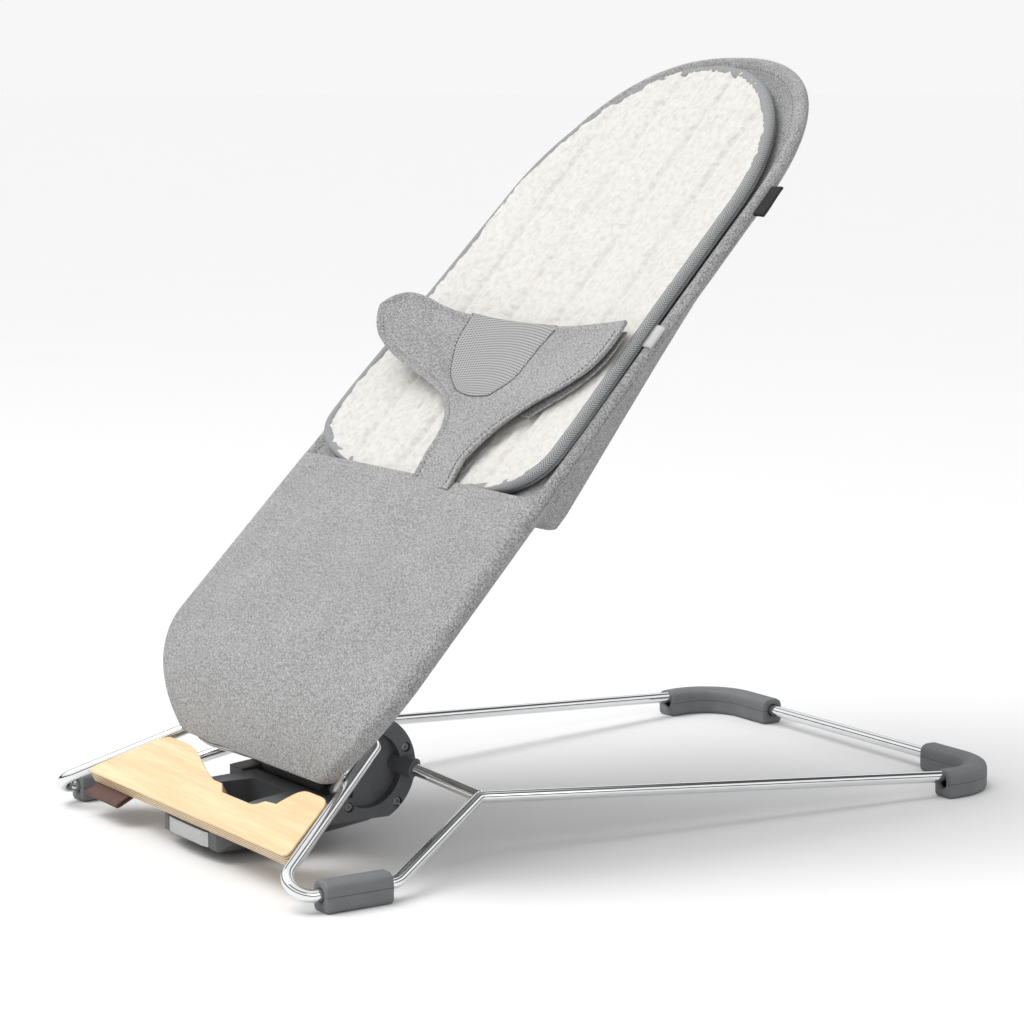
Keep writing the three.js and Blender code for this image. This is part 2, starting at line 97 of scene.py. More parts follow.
# A node tree, with a short method for each kind of node that the finishes use.
class Graph:
    def __init__(self, tree):
        self.tree = tree

    # Any node: its type, its settings first, then the values or links of its sockets.
    def node(self, kind, settings=None, sockets=None, out=0):
        made = self.tree.nodes.new(kind)
        for key, value in (settings or {}).items():
            if key == "stops":
                for i, (place, colour) in enumerate(value):
                    found = made.color_ramp.elements
                    stop = found[i] if i < 2 else found.new(place)
                    stop.position, stop.color = place, (*colour, 1)
            else:
                setattr(made, key, value)
        for key, value in (sockets or {}).items():
            self.link(value, made.inputs[key])
        return Val(self, made.outputs[out])

    def link(self, value, socket):
        if isinstance(value, Val):
            self.tree.links.new(value.socket, socket)
        else:
            socket.default_value = value

    def math(self, operation, *values):
        return self.node("ShaderNodeMath", {"operation": operation}, dict(enumerate(values)))

    def coords(self, kind="Object"):
        return self.node("ShaderNodeTexCoord", out={"Object": 3, "UV": 2}[kind])

    def place(self, vector, scale=(1, 1, 1), turn=(0, 0, 0), shift=(0, 0, 0), kind="POINT"):
        sockets = {"Vector": vector, "Scale": scale, "Rotation": turn, "Location": shift}
        return self.node("ShaderNodeMapping", {"vector_type": kind}, sockets)

    def noise(self, vector, scale, detail=2, rough=0.5):
        return self.node("ShaderNodeTexNoise", None,
                         {"Vector": vector, "Scale": scale, "Detail": detail, "Roughness": rough})

    def split(self, vector):
        made = self.node("ShaderNodeSeparateXYZ", None, {0: vector})
        return [Val(self, made.socket.node.outputs[i]) for i in range(3)]

    def ramp(self, value, *stops):
        return self.node("ShaderNodeValToRGB", {"stops": stops}, {0: value})

    def mix(self, factor, a, b):
        full = [c if isinstance(c, Val) else (*c, 1) for c in (a, b)]
        return self.node("ShaderNodeMix", {"data_type": "RGBA"}, {0: factor, 6: full[0], 7: full[1]}, out=2)

    def smooth(self, value, low, high):
        return self.node("ShaderNodeMapRange", {"interpolation_type": "SMOOTHSTEP"},
                         {0: value, 1: low, 2: high})

    def bump(self, height, distance):
        return self.node("ShaderNodeBump", None, {"Height": height, "Distance": distance})


# A finish: a material of its own, with its constants on the shader's sockets.
class Paint(Graph):
    def __init__(self, name, **constants):
        self.material = bpy.data.materials.new(name)
        self.material.use_nodes = True
        super().__init__(self.material.node_tree)
        self.shader = self.tree.nodes["Principled BSDF"]
        for key, value in constants.items():
            self.shader.inputs[key.replace("_", " ")].default_value = value

    def done(self, colour=None, rough=None, normal=None):
        for key, value in (("Base Color", colour), ("Roughness", rough), ("Normal", normal)):
            if value is not None:
                self.link(value, self.shader.inputs[key])
        return self.material


# Moulded plastic: a clouded tint and a fine grain.
def mouldedPlastic(name, colour, rough, grain):
    p = Paint(name)
    at = p.coords()
    fine = p.noise(at, grain, 3, 0.6)
    cloud = p.noise(at, 45, 2)
    tint = p.mix(cloud, [c * 0.86 for c in colour], [c * 1.14 for c in colour])
    return p.done(tint, rough - 0.06 + 0.12 * fine, p.bump(fine, 0.00012))


# Chrome: a bright metal whose shine wanders a little.
def chromePlate(name):
    p = Paint(name, Metallic=1.0)
    at = p.coords()
    cloud = p.noise(at, 60, 3)
    return p.done(p.mix(cloud, (0.78, 0.79, 0.80), (0.86, 0.865, 0.87)), 0.035 + 0.05 * cloud)


partingHeight = 0.0128


# Foot rubber: matt, with a parting line level with the rod.
def footRubber(name):
    p = Paint(name)
    at = p.coords()
    height = p.split(at)[2]
    fine = p.noise(at, 2600, 2, 0.6)
    cloud = p.noise(at, 70, 2)
    off = p.math("ABSOLUTE", height - partingHeight)
    parting = 1 - p.smooth(off, 0.0001, 0.00045)
    face = p.mix(cloud, (0.13, 0.135, 0.14), (0.175, 0.18, 0.185))
    tint = p.mix(parting * 0.7, face, (0.03, 0.03, 0.03))
    return p.done(tint, 0.55 + 0.2 * fine, p.bump(fine * 0.3 - parting, 0.0002))


plyStyle = {"tilt": math.radians(26.3), "frontEdge": (0, -0.3457, 0.036), "ply": 0.0022,
            "top": (0.0011, 0.0013), "under": (0.0097, 0.0099), "glue": (0.26, 0.40)}


# Birch ply: long grain on the faces, and a dark glue line between layers counted down from the top.
def birchPly(name):
    p = Paint(name, Coat_Weight=0.25, Coat_Roughness=0.25)
    flat = p.place(p.coords(), turn=(plyStyle["tilt"], 0, 0), shift=plyStyle["frontEdge"], kind="TEXTURE")
    depth = p.split(flat)[2]
    wave = p.noise(p.place(flat, (5, 60, 60)), 1.2, 3)
    grain = p.noise(p.place(flat, (14, 260, 60)), 2.0, 4, 0.65)
    fleck = p.noise(p.place(flat, (60, 900, 200)), 1.5, 2)
    face = p.mix(p.smooth(wave, 0.3, 0.7), (0.70, 0.50, 0.27), (0.83, 0.65, 0.40))
    face = p.mix(p.smooth(grain, 0.35, 0.75) * 0.4, face, (0.60, 0.40, 0.20))
    face = p.mix(p.smooth(fleck, 0.6, 0.75) * 0.25, face, (0.45, 0.28, 0.13))
    layer = p.math("FRACT", depth / plyStyle["ply"])
    off = p.math("ABSOLUTE", layer - 0.5)
    glue = p.smooth(off, *plyStyle["glue"])
    below = 0 - depth
    within = p.smooth(below, *plyStyle["top"]) * (1 - p.smooth(below, *plyStyle["under"]))
    tint = p.mix(glue * within * 0.9, face, (0.10, 0.05, 0.02))
    return p.done(tint, 0.38 + 0.16 * grain, p.bump(grain + fleck * 0.5 - glue * within, 0.00012))


# Leather: small cells with raised middles over a clouded brown.
def brownLeather(name):
    p = Paint(name)
    at = p.coords()
    cell = p.node("ShaderNodeTexVoronoi", {"feature": "DISTANCE_TO_EDGE"}, {"Vector": at, "Scale": 900})
    cloud = p.noise(at, 120, 3)
    tint = p.mix(cloud, (0.055, 0.022, 0.017), (0.15, 0.066, 0.05))
    return p.done(tint, 0.5 + 0.2 * cloud, p.bump(cell * 4 + cloud, 0.0002))


# Knit: staggered loops from two sines along the cloth's own width and length, with flecked yarns.
def melangeKnit(name, light, dark, pitch=0.0011):
    p = Paint(name, Sheen_Weight=0.25, Sheen_Roughness=0.5)
    cloth = p.coords("UV")
    at = p.coords()
    across, along, _ = p.split(cloth)
    turn = 2 * math.pi / pitch
    loop = p.math("SINE", across * turn) * p.math("SINE", along * turn * 1.3)
    yarn = p.noise(at, 1300, 3, 0.8)
    tuft = p.noise(at, 620, 2, 0.7)
    cloud = p.noise(at, 22, 2)
    fleck = (yarn * 0.6 + tuft * 0.4 - 0.5) * 8.0
    mixed = fleck + 0.5 + (cloud - 0.5) * 0.35 + loop * 0.05
    tint = p.mix(p.smooth(mixed, 0.0, 1.0), dark, light)
    return p.done(tint, 0.85 + 0.1 * yarn, p.bump(loop * 0.5 + yarn + tuft, 0.0005))


# Fleece: fibres in clumps, some patches a little warmer.
def fleecePile(name):
    p = Paint(name, Sheen_Weight=0.5, Sheen_Roughness=0.6)
    at = p.coords()
    fibre = p.noise(at, 900, 4, 0.75)
    clump = p.noise(at, 190, 3, 0.6)
    patch = p.noise(at, 26, 3)
    shade = p.smooth(clump * 0.6 + fibre * 0.4, 0.32, 0.6)
    tint = p.mix(shade, (0.62, 0.60, 0.55), (0.80, 0.785, 0.745))
    tint = p.mix(p.smooth(patch, 0.45, 0.7) * 0.35, tint, (0.76, 0.735, 0.675))
    return p.done(tint, 0.95, p.bump(clump * 1.4 + fibre, 0.0012))


# Herringbone: diagonal ribs that change direction across the tape's width.
def wovenTape(name, light, dark, rib=0.0022, zig=0.006):
    p = Paint(name)
    across, along, _ = p.split(p.coords("UV"))
    fold = p.math("PINGPONG", across, zig / 2)
    ribs = p.math("SINE", (along + fold) * (2 * math.pi / rib))
    fine = p.noise(p.coords(), 1200, 2)
    tint = p.mix(p.smooth(ribs * 0.5 + fine, 0.1, 0.95), dark, light)
    return p.done(tint, 0.85, p.bump(ribs * 0.5 + fine * 0.6, 0.0004))


# Spacer mesh: a staggered field of small holes.
def spacerMesh(name, light, dark, pitch=0.0032):
    p = Paint(name)
    across, along, _ = p.split(p.coords("UV"))
    turn = 2 * math.pi / pitch
    field = (p.math("SINE", (across * 0.5 + along * 0.6) * turn)
             * p.math("SINE", (across * 0.5 - along * 0.6) * turn))
    hole = p.smooth(field, 0.05, 0.6)
    return p.done(p.mix(hole, light, dark), 0.8, p.bump(0 - hole, 0.0006))


chrome = chromePlate("chromePlate")
rubber = footRubber("footRubber")
hubPlastic = mouldedPlastic("hubPlastic", (0.085, 0.088, 0.093), 0.5, 3000)
steelFitting = mouldedPlastic("steelFitting", (0.2, 0.2, 0.21), 0.38, 1500)
buttonPlastic = mouldedPlastic("buttonPlastic", (0.40, 0.41, 0.40), 0.42, 2500)
plywood = birchPly("birchPly")
leather = brownLeather("brownLeather")
knit = melangeKnit("melangeKnit", (0.60, 0.60, 0.602), (0.19, 0.19, 0.192))
fleece = fleecePile("fleecePile")
tape = wovenTape("herringboneTape", (0.40, 0.405, 0.41), (0.17, 0.175, 0.18))
meshCloth = spacerMesh("spacerMesh", (0.38, 0.38, 0.382), (0.10, 0.10, 0.102))
webbing = wovenTape("lightWebbing", (0.72, 0.72, 0.72), (0.50, 0.50, 0.50), 0.0016, 1.0)
labelCloth = wovenTape("blackLabel", (0.03, 0.03, 0.032), (0.008, 0.008, 0.009), 0.0012, 1.0)
stitchThread = mouldedPlastic("stitchThread", (0.10, 0.10, 0.105), 0.8, 900)
print("finishes made")


# Meshes from grids.
# A mesh as an object that rides one body; given two bodies, its placing is only baked into the mesh.
def asObject(name, mesh, material, body):
    made = bpy.data.objects.new(name, mesh)
    scene.collection.objects.link(made)
    mesh.materials.append(material)
    if isinstance(body, tuple):  # two bodies, then where the bend between them starts and ends
        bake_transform(made)
    else:
        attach(made, body)
    return made


# Quads between neighbours of a points grid (rows, columns, 3); wrap joins the last column to the first.
def gridMesh(name, points, wrap=False, wrapRows=False, caps=False, uv=None):
    rows, columns = points.shape[:2]
    index = np.arange(rows * columns).reshape(rows, columns)
    grown = np.concatenate([index, index[:, :1]], 1) if wrap else index
    grown = np.concatenate([grown, grown[:1]], 0) if wrapRows else grown
    quads = np.stack([grown[:-1, :-1], grown[:-1, 1:], grown[1:, 1:], grown[1:, :-1]], -1).reshape(-1, 4)
    faces = quads.tolist()
    if caps:
        faces += [index[0, ::-1].tolist(), index[-1].tolist()]
    mesh = bpy.data.meshes.new(name)
    mesh.from_pydata(points.reshape(-1, 3).tolist(), [], faces)
    if uv is not None:
        layer = mesh.uv_layers.new(name="cloth")
        vertex = np.zeros(len(mesh.loops), int)
        mesh.loops.foreach_get("vertex_index", vertex)
        layer.data.foreach_set("uv", uv.reshape(-1, 2)[vertex].astype(np.float32).ravel())
    mesh.shade_smooth()
    return mesh


# Doubles merged, then every face turned outwards.
def faceOut(mesh, merge=1e-6):
    work = bmesh.new()
    work.from_mesh(mesh)
    bmesh.ops.remove_doubles(work, verts=work.verts, dist=merge)
    bmesh.ops.recalc_face_normals(work, faces=work.faces)
    work.to_mesh(mesh)
    work.free()


# A vector divided by its length.
def unit(v):
    return v / np.maximum(np.linalg.norm(v, axis=-1, keepdims=True), 1e-12)


# Distance run along a path at each of its points.
def lengthAlong(path):
    return np.concatenate([[0], np.cumsum(np.linalg.norm(np.diff(path, axis=0), axis=1))])


# Values read off at places along a run, straight between its points.
def readAt(places, run, values):
    return np.stack([np.interp(places, run, values[:, k]) for k in range(values.shape[1])], 1)


# A path with its points spaced evenly.
def resample(path, step):
    run = lengthAlong(path)
    at = np.linspace(0, run[-1], max(int(run[-1] / step), 2) + 1)
    return readAt(at, run, path)


# Moving average of a path, its ends kept, or wrapped when closed.
def soften(path, width, closed=False):
    kernel = np.ones(2 * width + 1) / (2 * width + 1)
    if closed:
        padded = np.concatenate([path[-width:], path, path[:width]])
    else:
        padded = np.concatenate([2 * path[0] - path[width:0:-1], path, 2 * path[-1] - path[-2:-width - 2:-1]])
    return np.stack([np.convolve(padded[:, k], kernel, "valid") for k in range(path.shape[1])], 1)


# A polyline with each corner replaced by a circular arc: centre + the two radii blended by sines.
def roundedPath(stops, radii, steps=18):
    stops = np.array(stops, float)
    parts = [stops[:1]]
    for before, at, after, radius in zip(stops, stops[1:], stops[2:], radii):
        back, ahead = unit(before - at), unit(after - at)
        half = math.acos(float(np.clip(back @ ahead, -1, 1))) / 2
        reach = radius / math.tan(half)
        centre = at + unit(back + ahead) * radius / math.sin(half)
        turn = math.pi - 2 * half
        t = np.linspace(0, 1, steps)[:, None]
        start, end = at + back * reach - centre, at + ahead * reach - centre
        parts.append(centre + (start * np.sin(turn * (1 - t)) + end * np.sin(turn * t)) / math.sin(turn))
    parts.append(stops[-1:])
    return np.concatenate(parts)


# Section points (sideways, upwards) carried along a path: path + sideways * side + upwards * lift.
def sweepPoints(path, section, up, closed=False):
    if closed:
        tangent = unit(np.roll(path, -1, 0) - np.roll(path, 1, 0))
    else:
        tangent = unit(np.gradient(path, axis=0))
    up = np.broadcast_to(np.array(up, float), path.shape)
    side = unit(np.cross(tangent, up))
    lift = np.cross(side, tangent)
    section = np.broadcast_to(section, (len(path), *section.shape[-2:]))
    return path[:, None] + section[..., :1] * side[:, None] + section[..., 1:] * lift[:, None]


# Radius times the cosine and sine of the angle.
def circle(radius, sides=28):
    a = np.linspace(0, 2 * math.pi, sides, endpoint=False)
    return radius * np.stack([np.cos(a), np.sin(a)], 1)


# A circle carried along a path.
def rod(name, path, radius, material, body, up=(0, 0, 1), closed=False, replaces=()):
    points = sweepPoints(path, circle(radius), up, closed)
    mesh = gridMesh(name, points, wrap=True, wrapRows=closed, caps=not closed)
    faceOut(mesh)
    made = asObject(name, mesh, material, body)
    if replaces:
        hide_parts(*replaces)
    return made


# Chromed base wire.
mm = 0.001
wire = {"radius": 5 * mm, "legTop": (100, -221.3, 92.8), "toe": (206, -383.5, 13.3),
        "knee": (208.5, -270.3, 13.3), "joint": (149.7, -157.3, 51.6), "heel": (203.7, 350.3, 13.3)}
rightStops = [(70, *wire["legTop"][1:])] + [wire[stop] for stop in ("legTop", "toe", "knee", "joint", "heel")]
leftStops = [(-x, y, z) for x, y, z in reversed(rightStops)]
bends = [15, 15.5, 20, 9, 46]
wirePath = roundedPath(rightStops + leftStops, bends + bends[::-1]) * mm
baseNodes = [f"{part}_wire_{side}" for part in ("leg", "side") for side in ("right", "left")] + ["rear_wire"]
baseRod = rod("baseRod", wirePath, wire["radius"], chrome, "base", replaces=baseNodes)
for side, sign in (("right", 1), ("left", -1)):
    armPath = np.array([(80 * sign, -185, 68.3), (150.2 * sign, -156, 51.6)]) * mm
    arm = rod(f"arm_{side}", resample(armPath, 0.004), wire["radius"], chrome, "base",
              replaces=[f"arm_wire_{side}"])


footStyle = {"down": -13.3, "up": 10.7, "half": 11, "bore": 5.9, "rings": 40}


# A chamfered block section scaled down towards the rod at both ends, so each end closes in a rounded lip.
def foot(name, path, node):
    down, up, half = footStyle["down"], footStyle["up"], footStyle["half"]
    right = [(8, down), (10.2, down + 0.8), (half, down + 3), (half, up - 6), (9.6, up - 2.4), (5, up)]
    left = [(-x, y) for x, y in reversed(right)]
    outline = np.array(left[-1:] + right + left[:-1])
    ring = np.concatenate([outline, outline[:1]])
    run = lengthAlong(ring)
    section = readAt(np.linspace(0, run[-1], 72, endpoint=False), run, ring) * mm
    section = 0.25 * np.roll(section, 1, 0) + 0.5 * section + 0.25 * np.roll(section, -1, 0)
    inner = unit(section) * footStyle["bore"] * mm
    long = lengthAlong(path)[-1]
    body = np.linspace(0.0025, long - 0.0025, footStyle["rings"])
    places = np.concatenate([[0.004, 0.0, 0.0, 0.0006, 0.0014], body,
                             [long - 0.0014, long - 0.0006, long, long, long - 0.004]])
    share = np.concatenate([[0, 0, 0.8, 0.94, 0.985], np.ones(footStyle["rings"]), [0.985, 0.94, 0.8, 0, 0]])
    spine = readAt(places, lengthAlong(path), path)
    tangents = unit(np.gradient(path, axis=0))
    ahead = unit(readAt(places, lengthAlong(path), tangents))
    side = unit(np.cross(ahead, (0, 0, 1)))
    rings = inner + share[:, None, None] * (section - inner)
    points = spine[:, None] + rings[..., :1] * side[:, None] + rings[..., 1:] * np.array((0, 0, 1))
    mesh = gridMesh(name, points, wrap=True)
    faceOut(mesh, 1e-7)
    made = asObject(name, mesh, rubber, "base")
    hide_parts(node)


for side, sign in (("right", 1), ("left", -1)):
    front = np.array([(207 * sign, -337, 13.3), (207.4 * sign, -308, 13.3), (208 * sign, -279, 13.3)]) * mm
    foot(f"frontFoot_{side}", resample(front, 0.002), f"front_foot_{side}")
    corner = [(198.7 * sign, 288.3, 13.3), (203.7 * sign, 350.3, 13.3), (111.7 * sign, 350.3, 13.3)]
    heel = roundedPath(corner, [46], 40) * mm
    foot(f"rearFoot_{side}", resample(heel, 0.002), f"rear_foot_{side}")
print("base made")


easing = {"segments": 2, "angle": 28, "sharp": 35, "flat": 1.5}


# Moulded and cut parts: a merged copy of the CAD piece with its edges eased.
def easedCopy(name, node, material, ease):
    mesh = nodes[node].data.copy()
    mesh.materials.clear()
    work = bmesh.new()
    work.from_mesh(mesh)
    bmesh.ops.remove_doubles(work, verts=work.verts, dist=2e-6)
    bmesh.ops.dissolve_limit(work, angle_limit=math.radians(easing["flat"]), verts=work.verts, edges=work.edges)
    work.to_mesh(mesh)
    work.free()
    mesh.shade_smooth()
    mesh.set_sharp_from_angle(angle=math.radians(easing["sharp"]))
    made = asObject(name, mesh, material, nodes[node]["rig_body"])
    bevel = made.modifiers.new("ease", "BEVEL")
    bevel.width, bevel.segments = ease * mm, easing["segments"]
    bevel.limit_method, bevel.angle_limit = "ANGLE", math.radians(easing["angle"])
    bevel.use_clamp_overlap = True
    bevel.harden_normals = True
    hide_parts(node)
    return made


easedCopy("hubBody", "hub_body", hubPlastic, 1.2)
easedCopy("releaseButton", "release_button", buttonPlastic, 0.9)
easedCopy("footboard", "footboard", plywood, 0.9)
easedCopy("leatherTab", "leather_tab", leather, 0.3)
easedCopy("seatClamp", "seat_clamp", hubPlastic, 0.8)
for side in ("right", "left"):
    easedCopy(f"hubCheek_{side}", f"hub_cheek_{side}", hubPlastic, 1.0)
    for i in (1, 2, 3):
        easedCopy(f"cheekScrew_{i}_{side}", f"cheek_screw_{i}_{side}", steelFitting, 0.25)
nodes["pivot_axle"].data.materials.clear()
nodes["pivot_axle"].data.materials.append(steelFitting)
print("hub and footboard made")


# Seat profile, in millimetres: an arc that runs tangent into a straight back.
seat = {"arc": 124, "centre": (-152, 73), "tilt": math.radians(45.97), "half": 187.5, "hem": 118,
        "archHalf": 171, "straight": 473, "length": 653.5, "inset": 4.5, "wire": 3.4, "square": 0.8}
backStart = seat["arc"] * (math.pi / 2 - seat["tilt"])
archStart = backStart + seat["straight"]
seatTop = backStart + seat["length"]
pocketTop = backStart + 175


# Lift runs square to the profile: along the arc's radius below backStart, then along the back's normal.
def seatPoints(x, s, lift):
    x, s, lift = np.broadcast_arrays(*(np.asarray(v, float) for v in (x, s, lift)))
    a = np.minimum(s, backStart) / seat["arc"]
    along = np.maximum(s - backStart, 0)
    r = seat["arc"] + lift
    y = seat["centre"][0] - r * np.cos(a) + along * math.cos(seat["tilt"])
    z = seat["centre"][1] + r * np.sin(a) + along * math.sin(seat["tilt"])
    return np.stack([x, y, z], -1) * mm


# The cover's half width: a parabola at the lap, a taper along the back and a superellipse over the head.
def coverHalf(s):
    s = np.asarray(s, float)
    low = seat["half"] - (seat["half"] - seat["hem"]) * np.clip(1 - s / backStart, 0, None) ** 2
    mid = seat["half"] + (seat["archHalf"] - seat["half"]) * (s - backStart) / (archStart - backStart)
    rise = np.clip((s - archStart) / (seatTop - archStart), 0, 1)
    top = seat["archHalf"] * (1 - rise ** 2.5) ** 0.4
    return np.where(s < backStart, low, np.where(s < archStart, mid, top))


# Smooth noise: random heights on a lattice, read between its points with a cubic ease.
def softNoise(u, v, cell, seed=0):
    table = np.random.default_rng(seed).uniform(-1, 1, (257, 257))
    a, b = u / cell + 900.5, v / cell + 900.5
    i, j = np.floor(a).astype(int) % 256, np.floor(b).astype(int) % 256
    f, g = a - np.floor(a), b - np.floor(b)
    f, g = f * f * (3 - 2 * f), g * g * (3 - 2 * g)
    low = table[i, j] * (1 - f) + table[i + 1, j] * f
    high = table[i, j + 1] * (1 - f) + table[i + 1, j + 1] * f
    return low * (1 - g) + high * g


# Half the length of the cross product of each cell's diagonals, added up.
def areaOf(points):
    a = points[1:, 1:] - points[:-1, :-1]
    b = points[1:, :-1] - points[:-1, 1:]
    return float(np.linalg.norm(np.cross(a, b), axis=-1).sum() / 2)


# A surface given its thickness, half to each side.
def cloth(name, points, thick, material, body, uv, slot):
    mesh = gridMesh(name, points, uv=uv)
    made = asObject(name, mesh, material, body)
    solid = made.modifiers.new("thickness", "SOLIDIFY")
    solid.thickness, solid.offset = thick * mm, 0
    return made


# Seat loop: a bent wire from the clamp up both sides and over the head.
def loopPoint(s):
    return seatPoints(coverHalf(s) - seat["inset"], s, -5 * np.clip(1 - s / 170, 0, None))


# The head's outline, inset from the cover's: powers of the cosine across and of the sine along.
def headEdge(inset, count, lift=0):
    a = np.linspace(0, math.pi / 2, count)
    across = (seat["archHalf"] - inset) * np.cos(a) ** seat["square"]
    along = archStart + (seatTop - inset - archStart) * np.sin(a) ** seat["square"]
    return seatPoints(across, along, lift)


# Half an outline joined to its mirror image, spaced evenly and softened.
def bothSides(half):
    whole = np.concatenate([half, (half * np.array((-1, 1, 1)))[::-1][1:]])
    return soften(resample(whole, 0.003), 3)


yokeStops = [(0, -235.2, 53.2), (52, -235.2, 53.2), (108, -267, 63), loopPoint(16.0) / mm]
yoke = roundedPath(yokeStops, [11, 15], 12) * mm
rise = loopPoint(np.arange(22, archStart, 4.0))
wholeLoop = bothSides(np.concatenate([yoke, rise, headEdge(seat["inset"], 60)]))
planeUp = (0, -math.sin(seat["tilt"]), math.cos(seat["tilt"]))
loopNodes = ["loop_arch"] + [f"loop_{part}_{side}" for part in ("yoke", "rail") for side in ("right", "left")]
seatRod = rod("seatLoop", wholeLoop[:-1], seat["wire"] * mm, chrome, "seat", planeUp, replaces=loopNodes)
print("seat loop made")


# Front panel: hemmed cloth that goes round both rods, crowned a little between them.
panel = {"hem": 30, "roll": 7.6, "crown": 5.0, "low": -0.6}
rows = np.concatenate([[0, 0.6, 2], np.linspace(5, pocketTop - 4, 96),
                       [pocketTop - 1.5, pocketTop - 0.3, pocketTop]])
half = coverHalf(rows)[:, None]
turn = np.linspace(-math.pi / 2, math.pi / 2, 13)[None]
flat = np.linspace(1, -1, 61)[None]
roll, low = panel["roll"], panel["low"]
hemX = half - np.linspace(panel["hem"], roll, 6)[None, :-1]
rolled = half - roll + roll * np.cos(turn)
faceX = flat * (half - roll)
crown = panel["crown"] * np.sin(np.pi * rows / pocketTop)[:, None] ** 0.7 * (1 - flat ** 2)
wrinkle = 1.0 * softNoise(faceX, rows[:, None] + 0 * faceX, 60, 3) * (1 - flat ** 2)
faceLift = low + roll + 1.0 * (1 - flat ** 8) + crown + wrinkle
panelX = np.concatenate([hemX, rolled, faceX[:, 1:-1], -rolled[:, ::-1], -hemX[:, ::-1]], 1)
hemLift = np.full_like(hemX, low - roll)
rolledLift = low + roll * np.sin(turn) * np.ones_like(half)
panelLift = np.concatenate([hemLift, rolledLift, faceLift[:, 1:-1], rolledLift[:, ::-1], hemLift], 1)
panelS = rows[:, None] + 0 * panelX
panelPoints = seatPoints(panelX, panelS, panelLift)


# Distance across and along the cloth itself, in metres, measured from its middle.
def clothUv(points):
    across = np.cumsum(np.linalg.norm(np.diff(points, axis=1, prepend=points[:, :1]), axis=-1), 1)
    across = across - across.mean(1, keepdims=True)
    along = np.cumsum(np.linalg.norm(np.diff(points, axis=0, prepend=points[:1]), axis=-1), 0)
    return np.stack([across, along], -1)


frontPanel = cloth("frontPanel", panelPoints, 2.0, knit, "seat", clothUv(panelPoints), "knit")
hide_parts("pocket_panel")
panelFlat = (2 * (seat["half"] + 38) * mm, (pocketTop + 8) * mm)
min(areaOf(panelPoints), panelFlat[0] * panelFlat[1])
print("front panel made")

# Sling: the cloth between the rods, sagging behind them in a bucket with a short, steep lower end.
bucket = {"start": 258, "drop": 30, "deep": 62, "seam": 10.5}
slingTop = seatTop - bucket["seam"]
rows = np.concatenate([np.linspace(bucket["start"], bucket["start"] + 44, 26),
                       np.linspace(bucket["start"] + 48, archStart + 60, 90),
                       slingTop - (slingTop - archStart - 62) * np.linspace(1, 0, 46) ** 2])[:, None]
share = np.clip((rows - archStart) / (slingTop - archStart), 0, 1)
inner = np.where(rows < archStart, coverHalf(rows) - bucket["seam"],
                 (seat["archHalf"] - bucket["seam"]) * (1 - share ** 2.5) ** 0.4)
inner = np.maximum(inner, 0.4)
u = np.sin(np.linspace(1, -1, 81) * math.pi / 2)[None]
drop = np.clip((rows - bucket["start"] - 4) / bucket["drop"], 0, 1)
fade = np.clip((seatTop - 60 - rows) / 420, 0, 1)
sink = bucket["deep"] * np.sin(drop * math.pi / 2) * fade ** 0.9
sideEase = 0.9 + 2.2 * np.clip((370 - rows) / 110, 0, 1)
sag = sink * (1 - u ** 2) ** sideEase * (1 - np.abs(u) ** 5)
slingLift = 0.5 - sag + 0.8 * softNoise(u * inner, rows + 0 * u, 70, 5) * (1 - u ** 2)
slingPoints = seatPoints(u * inner, rows + 0 * u, slingLift)
sling = cloth("sling", slingPoints, 2.0, knit, "seat", clothUv(slingPoints), "knit")
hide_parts("sling")

# The back panel: the bucket's outer cloth, with steep side walls that hang from the rods.
back = {"wall": 35, "square": 22, "reach": 300, "inset": 2.2}
shellHalf = inner + bucket["seam"] - back["inset"]
headHalf = np.maximum(inner + (bucket["seam"] - back["inset"]) * (1 - share), 0.4)
shellHalf = np.where(rows < archStart, shellHalf, headHalf)
wall = back["wall"] * np.clip((rows - bucket["start"] - 3) / 12, 0, 1) ** 0.7
wall = wall * np.clip((bucket["start"] + back["reach"] - rows) / (back["reach"] - 30), 0, 1) ** 0.9
middle = sink * (1 - u ** 2) + 3.0 * (1 - np.abs(u) ** 6)
hang = np.maximum(wall * (1 - np.abs(u) ** back["square"]), middle)
shellX = u * (shellHalf - 3.0 * np.clip(hang / back["wall"], 0, 1) * np.clip(rows / 900, 0, 1))
shellWrinkle = 0.7 * softNoise(shellX, rows + 0 * u, 55, 8) * (1 - u ** 2)
shellPoints = seatPoints(shellX, rows + 0 * u, -3.4 - hang + shellWrinkle)
backPanel = cloth("backPanel", shellPoints, 2.0, knit, "seat", clothUv(shellPoints), "knit")
backFlat = (2 * (seat["half"] + 60) * mm, (seatTop - 258 + 60) * mm)
min(areaOf(shellPoints), backFlat[0] * backFlat[1])

# The sleeve round the rod: an oval section with a flat flange towards the sling, swept along the cover's edge.
s = np.arange(pocketTop - 22, archStart, 4.0)
edge = bothSides(np.concatenate([seatPoints(coverHalf(s) - seat["inset"], s, 0), headEdge(seat["inset"], 70)]))
a = np.linspace(0, 2 * math.pi, 36, endpoint=False)
oval = np.stack([6.3 * np.cos(a), 6.3 * np.sin(a)], 1)
